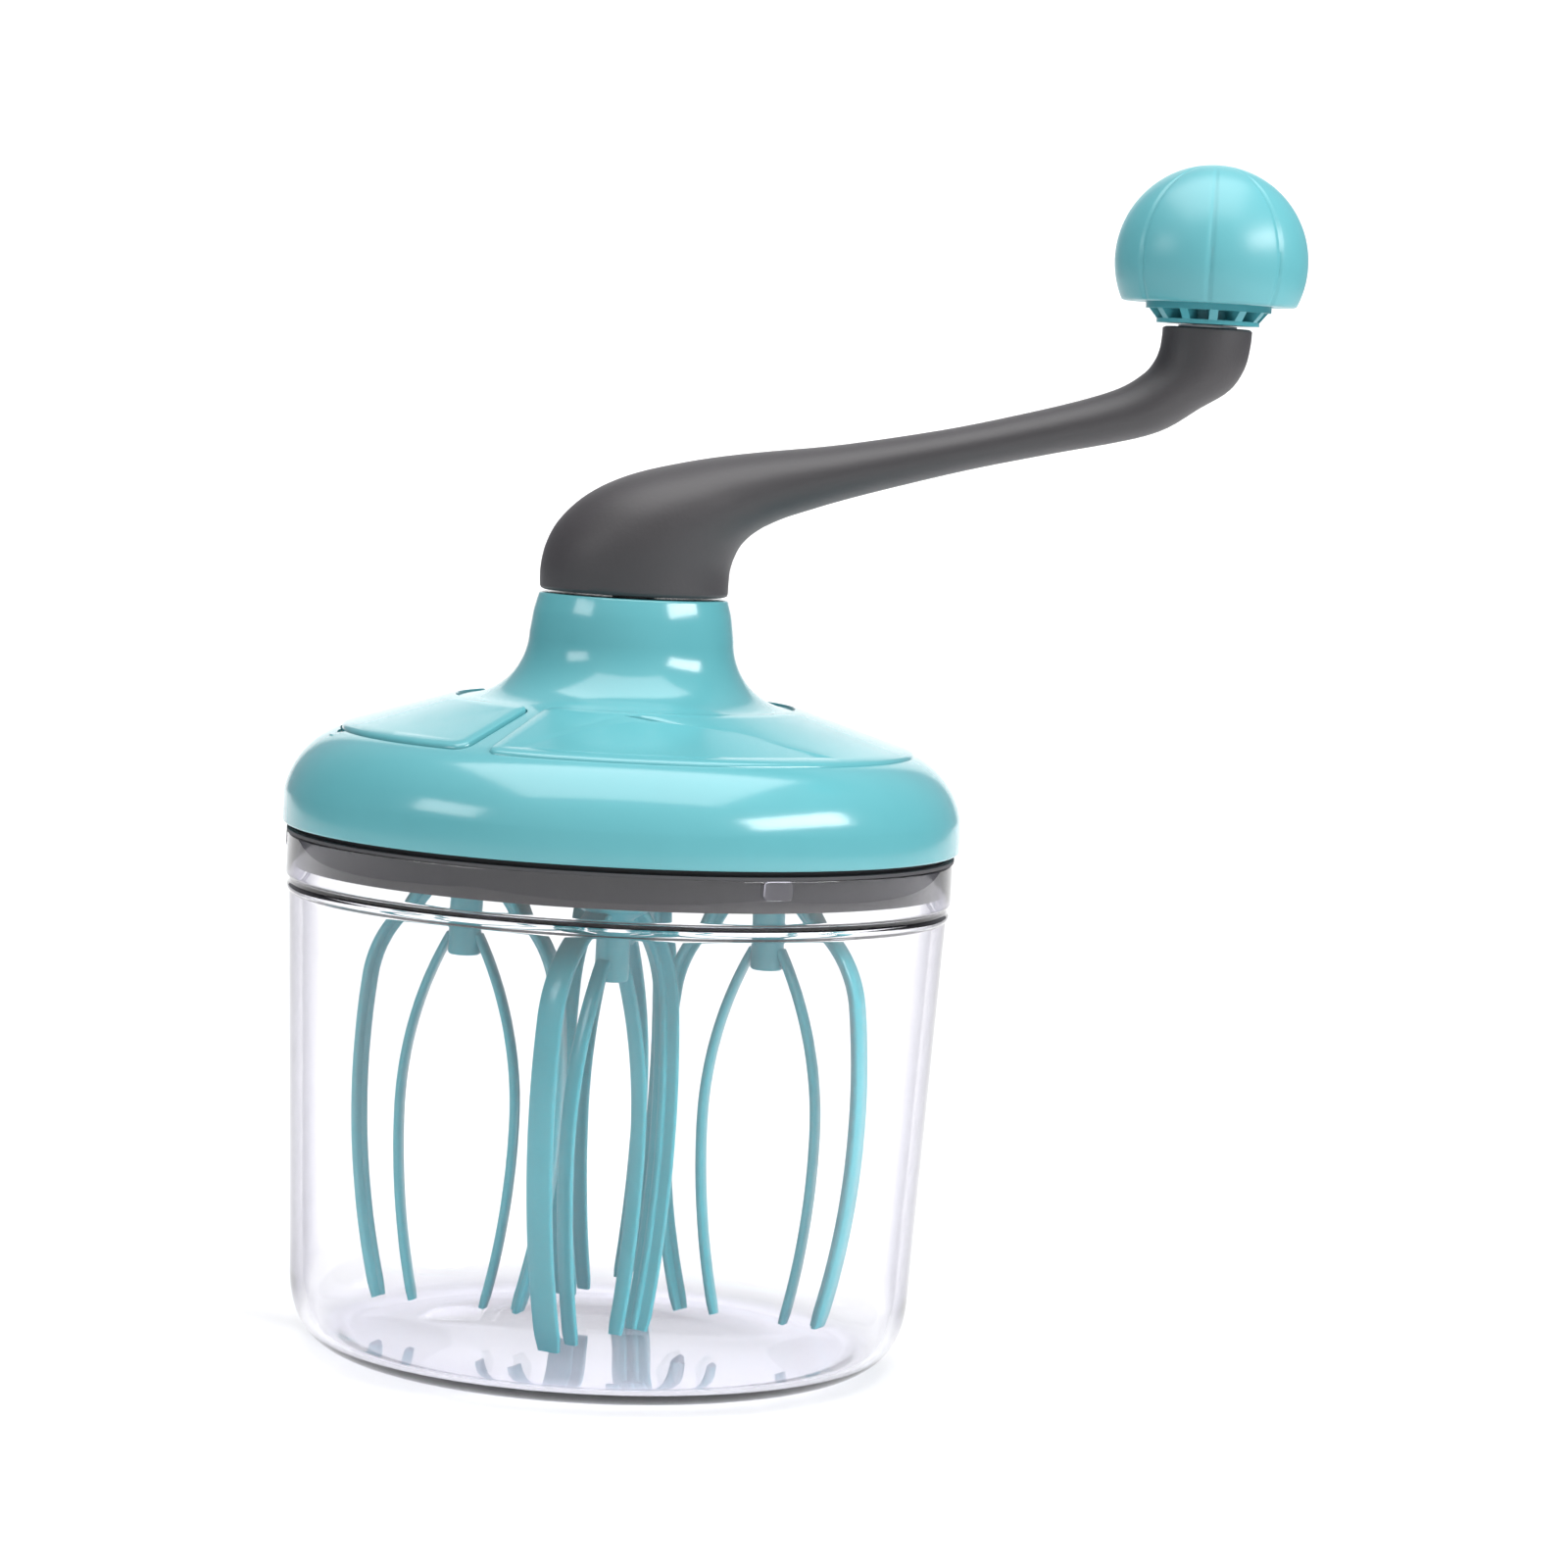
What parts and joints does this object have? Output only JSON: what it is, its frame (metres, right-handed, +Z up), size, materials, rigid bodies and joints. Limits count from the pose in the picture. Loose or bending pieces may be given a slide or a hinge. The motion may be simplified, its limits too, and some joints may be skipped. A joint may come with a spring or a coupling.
{
  "type": "hand crank egg beater",
  "caption": "Hand-crank egg beater: clear round cup, geared lid with a feed cover, cranked arm with a free-turning ball knob, and whisks that turn faster than the crank.",
  "frame": {"origin": "centre of the cup's flat base, on the surface it stands on", "axes": "+Z up along the crank's turning axis, +X along the crank arm at rest, -Y towards the viewer of the front side"},
  "size_m": [0.1857, 0.1268, 0.2291],
  "materials": {
    "clear_plastic": "clear polished",
    "turquoise_plastic": "smooth gloss",
    "turquoise_dark": "satin",
    "whisk_plastic": "satin",
    "dark_plastic": "satin",
    "gear_plastic": "natural",
    "steel": "brushed",
    "silicone": "matte"
  },
  "bodies": {
    "cup": {"cup": "clear_plastic"},
    "lid": {"lid_shell": "turquoise_plastic", "lid_base": "dark_plastic", "seal_ring": "silicone", "bearing_plate": "gear_plastic", "neck_bush": "gear_plastic", "plate_screws": "steel", "lid_screws": "steel"},
    "cover": {"fill_cover": "turquoise_plastic"},
    "crank": {"crank_arm": "dark_plastic", "crank_shaft": "steel", "drive_drum": "gear_plastic", "shaft_clip": "steel", "knob_pin": "steel", "knob_washer": "steel", "knob_screw": "steel"},
    "knob": {"knob_shell": "turquoise_plastic", "knob_core": "turquoise_dark"},
    "beater_right": {"whisk_right": "whisk_plastic", "pinion_right": "gear_plastic", "spindle_right": "steel", "spindle_clip_right": "steel"},
    "beater_back": {"whisk_back": "whisk_plastic", "pinion_back": "gear_plastic", "spindle_back": "steel", "spindle_clip_back": "steel"},
    "beater_left": {"whisk_left": "whisk_plastic", "pinion_left": "gear_plastic", "spindle_left": "steel", "spindle_clip_left": "steel"},
    "beater_front": {"whisk_front": "whisk_plastic", "pinion_front": "gear_plastic", "spindle_front": "steel", "spindle_clip_front": "steel"}
  },
  "joints": [
    {"name": "lid_lift", "type": "slide", "parent": "cup", "child": "lid", "axis": [0, 0, 1], "range_m": [0, 0.11]},
    {"name": "cover_lift", "type": "slide", "parent": "lid", "child": "cover", "axis": [0, 0, 1], "range_m": [0, 0.02]},
    {"name": "crank_turn", "type": "hinge", "parent": "lid", "child": "crank", "pos_m": [0, 0, 0.1436], "axis": [0, 0, 1], "continuous": true},
    {"name": "knob_spin", "type": "hinge", "parent": "crank", "child": "knob", "pos_m": [0.1043, 0, 0.2112], "axis": [0, 0, 1], "continuous": true},
    {"name": "spin_right", "type": "hinge", "parent": "lid", "child": "beater_right", "pos_m": [0.0285, 0, 0.098], "axis": [0, 0, 1], "continuous": true},
    {"name": "spin_back", "type": "hinge", "parent": "lid", "child": "beater_back", "pos_m": [0, 0.0285, 0.098], "axis": [0, 0, 1], "continuous": true},
    {"name": "spin_left", "type": "hinge", "parent": "lid", "child": "beater_left", "pos_m": [-0.0285, 0, 0.098], "axis": [0, 0, 1], "continuous": true},
    {"name": "spin_front", "type": "hinge", "parent": "lid", "child": "beater_front", "pos_m": [0, -0.0285, 0.098], "axis": [0, 0, 1], "continuous": true}
  ],
  "couplings": [
    {"joint": "spin_right", "follows": "crank_turn", "ratio": 4},
    {"joint": "spin_back", "follows": "crank_turn", "ratio": 4},
    {"joint": "spin_left", "follows": "crank_turn", "ratio": 4},
    {"joint": "spin_front", "follows": "crank_turn", "ratio": 4}
  ]
}
